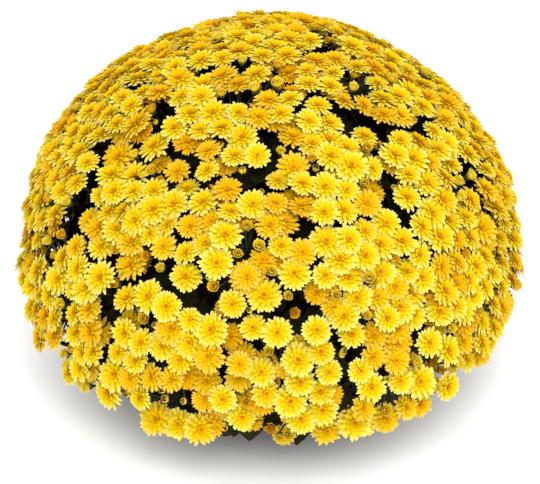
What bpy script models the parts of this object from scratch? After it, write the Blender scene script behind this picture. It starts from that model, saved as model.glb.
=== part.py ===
"""A pot chrysanthemum: a dome of double yellow blooms over lobed leaves, in a plain pot.

Metres, +Z up. The origin is the centre of the pot's flat base.
"""

import math

import bmesh
import bpy
import numpy as np
from mathutils import Matrix, Vector

# Driving dimensions of the pot and its soil.
POT_HEIGHT = 0.120
POT_BASE_RADIUS = 0.074
POT_WALL_TOP_RADIUS = 0.089
POT_RIM_RADIUS = 0.098
POT_RIM_HEIGHT = 0.026
POT_WALL = 0.0025
POT_FLOOR = 0.003
POT_EDGE = 0.0012
POT_STEPS = 32
DRAIN_HOLES = 5
DRAIN_RADIUS = 0.005
DRAIN_CIRCLE = 0.046
SOIL_LEVEL = 0.106
SOIL_LUMP = 0.003
SOIL_WAVES = (310, 270)
FIT_GAP = 0.0003

# Driving dimensions of the dome, measured to the faces of its blooms.
DOME_RADIUS = 0.243
DOME_RISE = 0.250
DOME_DROP = 0.104
DOME_MIDDLE = 0.108
DOME_LAST_ANGLE = math.radians(131)

# Branches and the leafy core that the sprays stand on.
STEMS = 5
STEM_RADIUS = 0.004
STEM_CIRCLE = 0.028
STEM_DEPTH = 0.040
STEM_SIDES = 6
HOLE_SIDES = 6
CORE_DEPTH = 0.040
CORE_STEPS = 18
CORE_RINGS = 8
RIM_CLEARANCE = 0.012
CORE_LUMP = 0.002
CORE_WAVES = (47, 53, 61)
LIP_INSET = 0.020
LIP_FALL = 0.008
BRANCH_RADIUS = 0.0024
BRANCH_FOOT_RADIUS = 0.0034
BRANCH_SIDES = 4

# Sprays and blooms.
SPRAYS = 38
BLOOMS = 300
BLOOM_RADIUS = 0.0225
BLOOM_DEPTH = 0.0085
PETALS = 6
INNER_REACH = 0.76
INNER_HEIGHT = 0.24
HEART_HEIGHT = 0.06
PEDICEL_RADIUS = 0.0021
FORK_DEPTH = 0.027
FORK_HEIGHT = 0.008
FORK_RADIUS = 0.0056
ROOT_DEPTH = 0.0035
ROOT_OVERRUN = 0.0022
SPRAY_SPACING = 0.125
BLOOM_SPACING = 0.0440
SETTLE_STEPS = 80
SETTLE_RATE = 0.25
GATHER = 0.10
LEAN_OUT = 0.62
TILT_SPREAD = 0.14
LIFT_LOW = -0.007
LIFT_HIGH = 0.003
SMALLEST = 0.92
LARGEST = 1.06
SEED = 9

# Leaves.
LEAVES = 50
LEAF_LENGTH = 0.053
LEAF_WIDTH = 0.038
LEAF_THICKNESS = 0.0018
LEAF_FOLD = 0.25
LEAF_MIDDLE = 0.45
LEAF_SINK = 0.010
LEAF_SPACING = 0.048
LEAF_ROOT_DEPTH = 0.006
LEAF_CLEARANCE = 0.010
STALK_POINTS = 9
LEAF_TILT_LOW = math.radians(42)
LEAF_TILT_HIGH = math.radians(62)
SKIRT_LEAVES = 14
SKIRT_REACH = 0.6
SKIRT_SCATTER = 0.4
LEAF_TRIALS = 1200

GOLDEN_ANGLE = math.pi * (3 - math.sqrt(5))
AREA_STEPS = 400
SLIVER = 1e-4
TINY = 1e-5


def clear_scene():
    for old in list(bpy.data.objects):
        bpy.data.objects.remove(old)


def material(name, colour, roughness):
    made = bpy.data.materials.new(name)
    made.use_nodes = True
    shader = made.node_tree.nodes["Principled BSDF"]
    shader.inputs["Base Color"].default_value = (*colour, 1.0)
    shader.inputs["Roughness"].default_value = roughness
    return made


def collection(name):
    made = bpy.data.collections.new(name)
    bpy.context.scene.collection.children.link(made)
    return made


def add_object(name, mesh, home, *materials):
    made = bpy.data.objects.new(name, mesh)
    home.objects.link(made)
    for each in materials:
        mesh.materials.append(each)
    return made


def mesh_of(bm, name):
    mesh = bpy.data.meshes.new(name)
    bm.to_mesh(mesh)
    bm.free()
    return mesh


def apply_modifiers(obj):
    """Bakes the evaluated shape into the object's own mesh."""
    bpy.context.view_layer.update()
    graph = bpy.context.evaluated_depsgraph_get()
    baked = bpy.data.meshes.new_from_object(obj.evaluated_get(graph))
    obj.modifiers.clear()
    obj.data = baked
    return obj


def neighbours(vert):
    return {e.other_vert(vert) for e in vert.link_edges}


def close_short_edges(bm):
    """Merges the two ends of each very short edge, where that leaves the surface closed."""
    bmesh.ops.triangulate(bm, faces=bm.faces)
    tried = set()
    while True:
        short = [e for e in bm.edges if e not in tried and e.calc_length() < SLIVER]
        if not short:
            return
        first, second = short[0].verts
        tried.add(short[0])
        shared = neighbours(first) & neighbours(second)
        if len(shared) == 2 and all(len(v.link_edges) > 3 for v in shared):
            bmesh.ops.pointmerge(bm, verts=[first, second], merge_co=first.co)


def clean_body(obj):
    """Drops loose scraps and the walls of sealed hollows, which fills them."""
    bm = bmesh.new()
    bm.from_mesh(obj.data)
    left = set(bm.faces)
    bodies = []
    while left:
        body, edge = set(), {left.pop()}
        while edge:
            body |= edge
            edge = {near for f in edge for e in f.edges for near in e.link_faces} - body
        left -= body
        bodies.append(body)
    largest = max(bodies, key=len)
    spare = [f for body in bodies if body is not largest for f in body]
    bmesh.ops.delete(bm, geom=spare, context="FACES")
    close_short_edges(bm)
    bm.to_mesh(obj.data)
    bm.free()


def join_all(obj, pieces):
    """Joins every object of a collection to obj with one Boolean union, then removes them."""
    union = obj.modifiers.new("join", "BOOLEAN")
    union.operation = "UNION"
    union.solver = "MANIFOLD"
    union.operand_type = "COLLECTION"
    union.collection = pieces
    apply_modifiers(obj)
    clean_body(obj)
    for used in list(pieces.objects):
        bpy.data.objects.remove(used)
    bpy.data.collections.remove(pieces)
    return obj


def cut_all(obj, cutters):
    """Cuts every object of a collection from obj with one Boolean difference."""
    cut = obj.modifiers.new("cut", "BOOLEAN")
    cut.operation = "DIFFERENCE"
    cut.solver = "EXACT"
    cut.operand_type = "COLLECTION"
    cut.collection = cutters
    apply_modifiers(obj)
    for used in list(cutters.objects):
        bpy.data.objects.remove(used)
    bpy.data.collections.remove(cutters)
    return obj


def turned(name, profile, steps, home, finish):
    """A profile of (radius, height) points turned about Z by a Screw modifier."""
    mesh = bpy.data.meshes.new(name)
    points = [(radius, 0, height) for radius, height in profile]
    mesh.from_pydata(points, [(i, i + 1) for i in range(len(points) - 1)], [])
    obj = add_object(name, mesh, home, finish)
    screw = obj.modifiers.new("turn", "SCREW")
    screw.axis = "Z"
    screw.steps = steps
    screw.render_steps = steps
    screw.use_merge_vertices = True
    screw.merge_threshold = TINY
    return apply_modifiers(obj)


def column(name, sides, foot, top, foot_radius, top_radius, home, *materials):
    """A straight tapered column between two points."""
    foot, top = Vector(foot), Vector(top)
    bm = bmesh.new()
    bmesh.ops.create_cone(
        bm, cap_ends=True, segments=sides, radius1=foot_radius, radius2=top_radius,
        depth=(top - foot).length,
    )
    obj = add_object(name, mesh_of(bm, name), home, *materials)
    turn = (top - foot).to_track_quat("Z", "Y").to_matrix().to_4x4()
    obj.matrix_world = Matrix.Translation((foot + top) / 2) @ turn
    return obj


def dome_profile(angle, depth=0.0):
    """(radius, height, outward normal) at an angle from the top, a depth below the blooms."""
    rise = np.where(angle < math.pi / 2, DOME_RISE, DOME_DROP)
    radius, height = DOME_RADIUS * np.sin(angle), rise * np.cos(angle)
    across, up = np.sin(angle) / DOME_RADIUS, np.cos(angle) / rise
    size = np.hypot(across, up)
    across, up = across / size, up / size
    return radius - depth * across, DOME_MIDDLE + height - depth * up, across, up


def even_angles(count):
    """Angles from the top at which count points share the dome's area evenly."""
    angle = np.linspace(0, DOME_LAST_ANGLE, AREA_STEPS)
    radius, height, _, _ = dome_profile(angle)
    step = np.hypot(np.diff(radius), np.diff(height))
    ring = step * (radius[1:] + radius[:-1]) / 2
    area = np.concatenate([[0], np.cumsum(ring)])
    return np.interp((np.arange(count) + 0.5) / count * area[-1], area, angle)


def dome_points(angle, turn, depth=0.0):
    """Places on the dome, with their outward normals, as two arrays of vectors."""
    radius, height, across, up = dome_profile(angle, depth)
    place = np.stack([radius * np.cos(turn), radius * np.sin(turn), height], axis=-1)
    normal = np.stack([across * np.cos(turn), across * np.sin(turn), up], axis=-1)
    return place, normal


def unit(vectors):
    return vectors / np.linalg.norm(vectors, axis=-1, keepdims=True)


def scatter(count, spacing, rng):
    """Seeded places on the dome: (angle, turn) pairs, settled until they stand evenly apart."""
    angle = even_angles(count)
    turn = rng.uniform(0, 2 * math.pi, count)
    for _ in range(SETTLE_STEPS):
        place, _ = dome_points(angle, turn)
        gap = place[:, None] - place[None]
        far = np.linalg.norm(gap, axis=-1) + TINY
        push = np.clip(spacing / far - 1, 0, 1)
        np.fill_diagonal(push, 0)
        moved = place + SETTLE_RATE * (gap * push[..., None]).sum(axis=1)
        turn = np.arctan2(moved[:, 1], moved[:, 0])
        drop = moved[:, 2] - DOME_MIDDLE
        rise = np.where(drop > 0, DOME_RISE, DOME_DROP)
        across = np.hypot(moved[:, 0], moved[:, 1]) / DOME_RADIUS
        angle = np.minimum(np.arctan2(across, drop / rise), DOME_LAST_ANGLE)
    return angle, turn


def lay_out_blooms(rng):
    """Where each spray forks, and each bloom's face, axis, size and spray."""
    heads, spray_axes = dome_points(*scatter(SPRAYS, SPRAY_SPACING, rng))
    angle, turn = scatter(BLOOMS, BLOOM_SPACING, rng)
    faces, normals = dome_points(angle, turn)
    owner = np.linalg.norm(faces[:, None] - heads[None], axis=-1).argmin(axis=1)
    # Each spray draws its blooms together a little, which opens the dark seams between sprays.
    faces = faces + GATHER * (heads[owner] - faces)
    lift = rng.uniform(LIFT_LOW, LIFT_HIGH, BLOOMS)
    faces = faces + lift[:, None] * normals
    # Blooms turn up to the light: one leans out by only a part of its angle from the top.
    lean = LEAN_OUT * angle
    axes = np.stack(
        [np.sin(lean) * np.cos(turn), np.sin(lean) * np.sin(turn), np.cos(lean)], axis=-1
    )
    axes = unit(axes + rng.normal(0, TILT_SPREAD, (BLOOMS, 3)))
    sizes = BLOOM_RADIUS * rng.uniform(SMALLEST, LARGEST, BLOOMS)
    # A bloom is no wider than half the way to the nearest bloom of another spray.
    apart = np.linalg.norm(faces[:, None] - faces[None], axis=-1)
    apart[owner[:, None] == owner[None]] = np.inf
    sizes = np.minimum(sizes, apart.min(axis=1) / 2 - FIT_GAP)
    return heads, spray_axes, faces, axes, sizes, owner


def bloom(name, face, axis, radius, fork, spin, home, *materials):
    """One bloom: a six-pointed star face over a funnel, on a three-sided stalk to the fork."""
    turn = Vector(axis).to_track_quat("Z", "Y").to_matrix().to_4x4()
    place = Matrix.Translation(Vector(face)) @ turn @ Matrix.Rotation(spin, 4, "Z")
    points = 2 * PETALS
    bm = bmesh.new()
    star = bmesh.ops.create_circle(
        bm, cap_ends=True, cap_tris=True, segments=points, radius=radius
    )["verts"]
    for v in star:
        step = round(math.atan2(v.co.y, v.co.x) / (math.pi / PETALS))
        if v.co.length < TINY:
            v.co.z = HEART_HEIGHT * radius
        elif step % 2:
            v.co *= INNER_REACH
            v.co.z = INNER_HEIGHT * radius
    stalk = bmesh.ops.create_circle(
        bm, cap_ends=True, cap_tris=True, segments=3, radius=PEDICEL_RADIUS
    )["verts"]
    # Each stalk ends a little past the point where they all meet, so that they overlap there.
    past = (Vector(fork) - Vector(face)).normalized() * ROOT_OVERRUN
    root = place.inverted() @ (Vector(fork) + past)
    for v in stalk:
        if v.co.length < TINY:
            v.co = root
        else:
            v.co.z = -BLOOM_DEPTH * radius / BLOOM_RADIUS
    rims = [e for e in bm.edges if len(e.link_faces) == 1]
    bmesh.ops.bridge_loops(bm, edges=rims)
    for f in bm.faces:
        f.material_index = 0 if any(v in star for v in f.verts) else 1
    bmesh.ops.triangulate(bm, faces=bm.faces)
    bmesh.ops.recalc_face_normals(bm, faces=bm.faces)
    # On a cup this thin the faces can all come out pointing inwards.
    if bm.calc_volume(signed=True) < 0:
        bmesh.ops.reverse_faces(bm, faces=bm.faces)
    obj = add_object(name, mesh_of(bm, name), home, *materials)
    obj.matrix_world = place
    return obj


def spray(number, head, axis, faces, axes, sizes, plant, finishes):
    """One flowering spray: a short stalk that forks to each of its blooms."""
    name = f"spray_{number:02d}"
    rng = np.random.default_rng([SEED, number])
    head, axis = Vector(head), Vector(axis)
    fork = head - axis * FORK_DEPTH
    foot = fork - axis * FORK_HEIGHT
    stalk = column(
        name, BRANCH_SIDES, foot, fork, BRANCH_RADIUS, FORK_RADIUS, plant, *finishes
    )
    for face in stalk.data.polygons:
        face.material_index = 1
    blooms = collection(name + "_blooms")
    root = fork - axis * ROOT_DEPTH
    for i in range(len(faces)):
        bloom(
            f"{name}_bloom_{i}", faces[i], axes[i], sizes[i], root,
            rng.uniform(0, math.pi), blooms, *finishes,
        )
    return join_all(stalk, blooms)


def make_pot(home, finish):
    """The pot: a tapered wall with a stepped rim, open at the top, and drain holes."""
    rim_foot = POT_HEIGHT - POT_RIM_HEIGHT
    inner_base = POT_BASE_RADIUS - POT_WALL
    inner_top = POT_WALL_TOP_RADIUS - POT_WALL
    inner_rim = POT_RIM_RADIUS - POT_WALL
    profile = [
        (0, POT_FLOOR),
        (inner_base, POT_FLOOR),
        (inner_top, rim_foot + POT_WALL),
        (inner_rim - POT_EDGE, rim_foot + 2 * POT_WALL),
        (inner_rim, POT_HEIGHT - POT_EDGE),
        (inner_rim + POT_EDGE, POT_HEIGHT),
        (POT_RIM_RADIUS - POT_EDGE, POT_HEIGHT),
        (POT_RIM_RADIUS, POT_HEIGHT - POT_EDGE),
        (POT_RIM_RADIUS - POT_EDGE, rim_foot),
        (POT_WALL_TOP_RADIUS, rim_foot),
        (POT_BASE_RADIUS, POT_EDGE),
        (POT_BASE_RADIUS - POT_EDGE, 0),
        (0, 0),
    ]
    pot = turned("pot", profile, POT_STEPS, home, finish)
    drills = collection("pot_drills")
    for i in range(DRAIN_HOLES):
        turn = 2 * math.pi * i / DRAIN_HOLES
        x, y = DRAIN_CIRCLE * math.cos(turn), DRAIN_CIRCLE * math.sin(turn)
        column(
            f"drill_{i}", HOLE_SIDES, (x, y, -POT_FLOOR), (x, y, 2 * POT_FLOOR),
            DRAIN_RADIUS, DRAIN_RADIUS, drills,
        )
    return cut_all(pot, drills)


def stem_places():
    """Where the stems stand, evenly round a circle."""
    turns = [2 * math.pi * i / STEMS for i in range(STEMS)]
    return [(STEM_CIRCLE * math.cos(t), STEM_CIRCLE * math.sin(t)) for t in turns]


def make_soil(home, finish):
    """The root ball and potting soil, with a lumpy top and a plain hole for each stem."""
    low = POT_FLOOR + FIT_GAP
    inner_base = POT_BASE_RADIUS - POT_WALL - FIT_GAP
    inner_top = POT_WALL_TOP_RADIUS - POT_WALL - FIT_GAP
    inner_rim = POT_RIM_RADIUS - POT_WALL - POT_EDGE - FIT_GAP
    rim_foot = POT_HEIGHT - POT_RIM_HEIGHT
    profile = [
        (0, SOIL_LEVEL + SOIL_LUMP),
        (inner_rim / 3, SOIL_LEVEL + SOIL_LUMP),
        (inner_rim * 2 / 3, SOIL_LEVEL),
        (inner_rim, SOIL_LEVEL - SOIL_LUMP),
        (inner_rim, rim_foot + 2 * POT_WALL + FIT_GAP),
        (inner_top, rim_foot + POT_WALL + FIT_GAP),
        (inner_base, low),
        (0, low),
    ]
    soil = turned("soil", profile, POT_STEPS, home, finish)
    for v in soil.data.vertices:
        if v.co.z > SOIL_LEVEL - 2 * SOIL_LUMP and math.hypot(v.co.x, v.co.y) > TINY:
            wave = math.sin(SOIL_WAVES[0] * v.co.x) * math.cos(SOIL_WAVES[1] * v.co.y)
            v.co.z += SOIL_LUMP / 2 * wave
    hole_radius = STEM_RADIUS + 2 * FIT_GAP
    drills = collection("soil_drills")
    for i, (x, y) in enumerate(stem_places()):
        column(
            f"soil_drill_{i}", HOLE_SIDES, (x, y, SOIL_LEVEL - STEM_DEPTH - FIT_GAP),
            (x, y, SOIL_LEVEL + 4 * SOIL_LUMP), hole_radius, hole_radius, drills,
        )
    return cut_all(soil, drills)


def leaf_outline():
    """A leaf's lobed outline, tip first, in widths across and lengths along."""
    half = [
        (0.06, 0), (0.10, 0.14), (0.42, 0.22), (0.26, 0.42), (0.50, 0.62), (0.24, 0.74),
    ]
    return [(0, 1.0)] + [(-x, y) for x, y in reversed(half)] + half


def make_leaf(finish):
    """One leaf, base at the origin and tip along +Y: a very flat cone, its rim cut to lobes."""
    outline = leaf_outline()
    bm = bmesh.new()
    bmesh.ops.create_cone(
        bm, cap_ends=True, cap_tris=True, segments=len(outline), radius1=1, radius2=0,
        depth=LEAF_THICKNESS,
    )
    middle = [v for v in bm.verts if math.hypot(v.co.x, v.co.y) < 0.5]
    for v in middle:
        v.co.y = LEAF_MIDDLE * LEAF_LENGTH
    rim = [v for v in bm.verts if v not in middle]
    rim.sort(key=lambda v: math.atan2(-v.co.x, v.co.y) % (2 * math.pi))
    for v, (x, y) in zip(rim, outline):
        v.co = (x * LEAF_WIDTH, y * LEAF_LENGTH, abs(x) * LEAF_WIDTH * LEAF_FOLD)
    shape = mesh_of(bm, "leaf_shape")
    shape.materials.append(finish)
    return shape


def leaf_frame(root, along, normal):
    """Where a leaf goes: base sunk below its root, tip one way, face towards the normal."""
    along = Vector(along).normalized()
    side = along.cross(Vector(normal)).normalized()
    turn = Matrix((side, along, side.cross(along))).transposed().to_4x4()
    return Matrix.Translation(Vector(root) - along * LEAF_SINK) @ turn


def points_on_blooms(heads, spray_axes, faces, axes, sizes, owner):
    """Points spread over every bloom and its stalk, which the leaves keep clear of."""
    forks = (heads - FORK_DEPTH * spray_axes)[owner]
    points = [forks + t * (faces - forks) for t in np.linspace(0, 1, STALK_POINTS)]
    across = unit(np.cross(axes, np.roll(axes, 1, axis=1)))
    along = np.cross(axes, across)
    for reach in (0.5, 1.0):
        for turn in np.arange(0, 2 * math.pi, math.pi / PETALS):
            ring = across * math.cos(turn) + along * math.sin(turn)
            points.append(faces + reach * sizes[:, None] * ring)
    return np.concatenate(points)


def stays_clear(frame, keep_off):
    """Whether a leaf in this frame keeps its clearance from a cloud of points."""
    rim = [frame @ Vector((x * LEAF_WIDTH, y * LEAF_LENGTH, 0)) for x, y in leaf_outline()]
    gaps = np.linalg.norm(np.array(rim)[:, None] - keep_off[None], axis=-1)
    return gaps.min() > LEAF_CLEARANCE


def dome_leaves(heads, keep_off, rng):
    """Frames for the leaves that fill the seams between sprays: each lies along its seam."""
    angle = even_angles(LEAF_TRIALS)
    turn = np.arange(LEAF_TRIALS) * GOLDEN_ANGLE
    place, normal = dome_points(angle, turn, CORE_DEPTH + LEAF_ROOT_DEPTH)
    top, _ = dome_points(angle, turn)
    away = np.linalg.norm(top[:, None] - heads[None], axis=-1)
    nearest = away.argmin(axis=1)
    chosen, frames = [], []
    for i in np.argsort(-away.min(axis=1)):
        seam = unit(np.cross(normal[i], top[i] - heads[nearest[i]]))
        tilt = rng.uniform(LEAF_TILT_LOW, LEAF_TILT_HIGH)
        along = normal[i] * math.cos(tilt) + seam * math.sin(tilt)
        frame = leaf_frame(place[i], along, normal[i])
        spaced = all(np.linalg.norm(top[i] - top[j]) > LEAF_SPACING for j in chosen)
        if spaced and len(chosen) < LEAVES and stays_clear(frame, keep_off):
            chosen.append(i)
            frames.append(frame)
    return frames


def skirt_leaves(radius, height, rng):
    """Frames for the leaves that hang out and down from under the dome, round the pot."""
    frames = []
    for i in range(SKIRT_LEAVES):
        turn = 2 * math.pi * (i + rng.uniform(0, SKIRT_SCATTER)) / SKIRT_LEAVES
        out = Vector((math.cos(turn), math.sin(turn), 0))
        along = out * SKIRT_REACH + Vector((0, 0, -1))
        root = out * radius + Vector((0, 0, height))
        frames.append(leaf_frame(root, along, out))
    return frames


def make_foliage(heads, spray_axes, keep_off, rng, home, finish):
    """The stems, the leafy core they carry, its branch ends and its leaves, grown as one body."""
    angles = np.linspace(0, DOME_LAST_ANGLE, CORE_RINGS)
    radius, height, _, _ = dome_profile(angles, CORE_DEPTH)
    lip_radius, lip_height = radius[-1] - LIP_INSET, height[-1] - LIP_FALL
    clear_of_rim = POT_RIM_RADIUS + RIM_CLEARANCE
    above_rim = POT_HEIGHT + RIM_CLEARANCE
    profile = [(0, height[0])]
    profile += list(zip(radius[1:], height[1:]))
    profile += [
        (lip_radius, lip_height),
        (clear_of_rim, POT_HEIGHT - RIM_CLEARANCE),
        (clear_of_rim - RIM_CLEARANCE, above_rim),
        (0, above_rim),
    ]
    core = turned("foliage", profile, CORE_STEPS, home, finish)
    for v in core.data.vertices:
        across = math.hypot(v.co.x, v.co.y)
        if across > clear_of_rim + TINY:
            wave = math.sin(CORE_WAVES[0] * v.co.x) * math.cos(CORE_WAVES[1] * v.co.y)
            wave += math.sin(CORE_WAVES[2] * v.co.z)
            v.co.x += CORE_LUMP * wave * v.co.x / across
            v.co.y += CORE_LUMP * wave * v.co.y / across
    growth = collection("foliage_growth")
    for i, (x, y) in enumerate(stem_places()):
        column(
            f"stem_{i}", STEM_SIDES, (x, y, SOIL_LEVEL - STEM_DEPTH),
            (x, y, above_rim + STEM_DEPTH), STEM_RADIUS, STEM_RADIUS, growth, finish,
        )
    for i, (head, axis) in enumerate(zip(heads, spray_axes)):
        head, axis = Vector(head), Vector(axis)
        top = head - axis * (FORK_DEPTH + FORK_HEIGHT + FIT_GAP)
        foot = head - axis * (CORE_DEPTH + 3 * CORE_LUMP)
        column(
            f"branch_{i}", BRANCH_SIDES, foot, top, BRANCH_FOOT_RADIUS, BRANCH_RADIUS,
            growth, finish,
        )
    shape = make_leaf(finish)
    frames = dome_leaves(heads, keep_off, rng)
    frames += skirt_leaves((lip_radius + clear_of_rim) / 2, POT_HEIGHT - RIM_CLEARANCE, rng)
    for i, frame in enumerate(frames):
        leaf = bpy.data.objects.new(f"leaf_{i}", shape.copy())
        growth.objects.link(leaf)
        leaf.matrix_world = frame
    return join_all(core, growth)


def main():
    clear_scene()
    rng = np.random.default_rng(SEED)
    plant = collection("pot_chrysanthemum")
    pot_finish = material("pot_plastic", (0.035, 0.037, 0.036), 0.50)
    soil_finish = material("potting_soil", (0.045, 0.028, 0.018), 0.95)
    leaf_finish = material("leaf_green", (0.035, 0.085, 0.022), 0.55)
    petal_finish = material("petal_yellow", (0.93, 0.62, 0.01), 0.60)
    heads, spray_axes, faces, axes, sizes, owner = lay_out_blooms(rng)
    make_pot(plant, pot_finish)
    make_soil(plant, soil_finish)
    keep_off = points_on_blooms(heads, spray_axes, faces, axes, sizes, owner)
    make_foliage(heads, spray_axes, keep_off, rng, plant, leaf_finish)
    for i in range(SPRAYS):
        mine = owner == i
        spray(
            i + 1, heads[i], spray_axes[i], faces[mine], axes[mine], sizes[mine], plant,
            (petal_finish, leaf_finish),
        )


main()
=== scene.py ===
# %% [markdown]
# A florist's pot chrysanthemum is one dense dome of small double flowers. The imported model
# holds it as simple solids: 38 sprays of coarse blooms, a leafy core, soil and a pot. It is
# loaded first and never changed, and finer pieces will stand for all of it.

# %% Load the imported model
import math

import bmesh
import bpy
import numpy as np
from mathutils import Matrix, Vector


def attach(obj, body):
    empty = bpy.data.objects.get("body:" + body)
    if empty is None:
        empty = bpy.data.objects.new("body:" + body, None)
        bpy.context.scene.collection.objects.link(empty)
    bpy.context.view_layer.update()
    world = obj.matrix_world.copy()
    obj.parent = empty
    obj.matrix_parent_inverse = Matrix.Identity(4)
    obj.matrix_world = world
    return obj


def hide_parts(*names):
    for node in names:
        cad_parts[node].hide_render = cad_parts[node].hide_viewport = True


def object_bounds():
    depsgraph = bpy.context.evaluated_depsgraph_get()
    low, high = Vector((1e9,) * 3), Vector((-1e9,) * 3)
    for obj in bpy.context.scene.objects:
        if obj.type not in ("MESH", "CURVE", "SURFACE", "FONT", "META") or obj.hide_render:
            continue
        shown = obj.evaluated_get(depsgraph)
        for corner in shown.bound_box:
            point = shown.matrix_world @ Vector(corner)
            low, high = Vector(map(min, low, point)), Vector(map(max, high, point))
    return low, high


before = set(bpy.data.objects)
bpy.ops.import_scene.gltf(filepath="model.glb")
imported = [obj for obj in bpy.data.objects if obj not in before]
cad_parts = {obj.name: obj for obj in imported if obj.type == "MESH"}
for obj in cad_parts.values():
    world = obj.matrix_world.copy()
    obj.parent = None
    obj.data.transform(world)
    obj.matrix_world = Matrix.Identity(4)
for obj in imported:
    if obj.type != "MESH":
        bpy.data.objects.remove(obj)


def plain(box):
    """A box's two corners as plain lists."""
    return [[float(number) for number in corner] for corner in box]


cad_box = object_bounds()
print("nodes of the packed model:", len(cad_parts))

# %% [markdown]
# The camera stands where the photograph was taken from, some 33 degrees above the floor. A
# wide lens near by would stretch the dome, so it is far away with a long one.

# %% The camera
VIEW_RISE = math.radians(33)
VIEW_DISTANCE = 3.0
VIEW_HALF_WIDTH = 0.266
VIEW_TARGET = Vector((0.0, 0.0, 0.136))


def add_object(name, data):
    """A new object in the scene."""
    made = bpy.data.objects.new(name, data)
    bpy.context.scene.collection.objects.link(made)
    return made


away = Vector((0, -math.cos(VIEW_RISE), math.sin(VIEW_RISE)))
camera_data = bpy.data.cameras.new("camera")
camera_data.lens = camera_data.sensor_width / 2 * VIEW_DISTANCE / VIEW_HALF_WIDTH
camera = add_object("camera", camera_data)
camera.location = VIEW_TARGET + VIEW_DISTANCE * away
camera.rotation_euler = away.to_track_quat("Z", "Y").to_euler()
bpy.context.scene.camera = camera
print("lens", round(camera_data.lens), "mm")

# %% [markdown]
# The photograph's light is soft. Small lamps would throw hard shadows between the petals, so
# a white sky fills them, and three panels, a strong one above and two dim ones, shape the
# dome.

# %% Floor and lights
SKY_STRENGTH = 1.02
FLOOR_SIZE = 30.0
# each panel's name, place, width and power
PANELS = (
    ("key_panel", (0.2, -1.9, 2.5), 1.3, 30.0),
    ("side_panel", (2.0, -0.6, 1.4), 1.5, 5.0),
    ("front_panel", (-0.4, -2.6, 0.8), 1.5, 6.0),
)


def panel(name, place, size, power):
    """A square area light, turned to face the dome."""
    data = bpy.data.lights.new(name, "AREA")
    data.size = size
    data.energy = power
    lamp = add_object(name, data)
    lamp.location = place
    lamp.rotation_euler = (Vector(place) - VIEW_TARGET).to_track_quat("Z", "Y").to_euler()


world = bpy.data.worlds.new("studio")
world.use_nodes = True
sky = world.node_tree.nodes["Background"]
sky.inputs["Color"].default_value = (1, 1, 1, 1)
sky.inputs["Strength"].default_value = SKY_STRENGTH
bpy.context.scene.world = world
bpy.context.scene.view_settings.view_transform = "Standard"
for each_panel in PANELS:
    panel(*each_panel)

half = FLOOR_SIZE / 2
corners = [(-half, -half, 0), (half, -half, 0), (half, half, 0), (-half, half, 0)]
floor_mesh = bpy.data.meshes.new("studio_floor")
floor_mesh.from_pydata(corners, [], [(0, 1, 2, 3)])
studio_floor = add_object("studio_floor", floor_mesh)
print("lights: a sky and", len(PANELS), "panels")

# %% [markdown]
# Shader nodes could be wired one by one, but arithmetic reads better. So a Value wraps one
# socket, and 1 - mask * 0.4 adds the Math nodes for it. Mix nodes blend colours, since a Math
# node would turn them grey.

# %% Helpers for materials
GRAIN_EDGES = (0.35, 0.65)


def maths(operation, swapped=False):
    """A method that adds one Math node for a Value and another number."""
    def add_node(value, other=0.0):
        first, second = (other, value) if swapped else (value, other)
        return value.finish.node("Math", {0: first, 1: second}, operation=operation)
    return add_node


class Value:
    """A number that varies over a surface; arithmetic on it adds Math nodes."""

    __add__ = __radd__ = maths("ADD")
    __sub__ = maths("SUBTRACT")
    __rsub__ = maths("SUBTRACT", swapped=True)
    __mul__ = __rmul__ = maths("MULTIPLY")
    __abs__ = maths("ABSOLUTE")
    larger_of = maths("MAXIMUM")
    sine = maths("SINE")

    def __init__(self, finish, socket):
        self.finish = finish
        self.socket = socket

    def step(self, low, high):
        """0 below low, 1 above high, and a smooth rise between them."""
        values = {0: self, 1: low, 2: high}
        return self.finish.node("MapRange", values, interpolation_type="SMOOTHSTEP")


class Finish:
    """One material. Its methods add nodes and return an output."""

    def __init__(self, name, roughness):
        self.material = bpy.data.materials.new(name)
        self.material.use_nodes = True
        self.tree = self.material.node_tree
        self.shader = self.tree.nodes["Principled BSDF"]
        self.shader.inputs["Roughness"].default_value = roughness

    def node(self, kind, inputs, output=0, **settings):
        """Adds one node: its settings first, then its sockets' values or links."""
        made = self.tree.nodes.new("ShaderNode" + kind)
        for key, value in settings.items():
            setattr(made, key, value)
        for key, value in inputs.items():
            self.feed(made.inputs[key], value)
        return Value(self, made.outputs[output])

    def feed(self, socket, value):
        """Links a Value, or sets the socket's own number or colour."""
        if isinstance(value, Value):
            self.tree.links.new(value.socket, socket)
        else:
            socket.default_value = value

    def set(self, name, value):
        """Feeds one socket of the shader."""
        self.feed(self.shader.inputs[name], value)

    def marks(self):
        """The three marks that a mesh keeps at each point."""
        vector = self.node("Attribute", {}, "Vector", attribute_name="marks")
        split = self.node("SeparateXYZ", {0: vector})
        return [Value(self, output) for output in split.socket.node.outputs]

    def place(self):
        """The place on the object, in metres."""
        return self.node("TexCoord", {}, "Object")

    def noise(self, scale, detail=3.0):
        """Noise of so many waves a metre."""
        return self.node("TexNoise", {"Scale": scale, "Detail": detail, "Vector": self.place()})

    def mix(self, factor, first, second):
        """A blend from the first colour to the second."""
        return self.node("Mix", {0: factor, 6: first, 7: second}, 2, data_type="RGBA")

    def bump(self, height, distance, strength=1.0):
        """A surface that looks raised where the height is large."""
        inputs = {"Height": height, "Distance": distance, "Strength": strength}
        self.set("Normal", self.node("Bump", inputs))


def colour(red, green, blue):
    """An opaque colour in linear light."""
    return (red, green, blue, 1.0)


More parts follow.
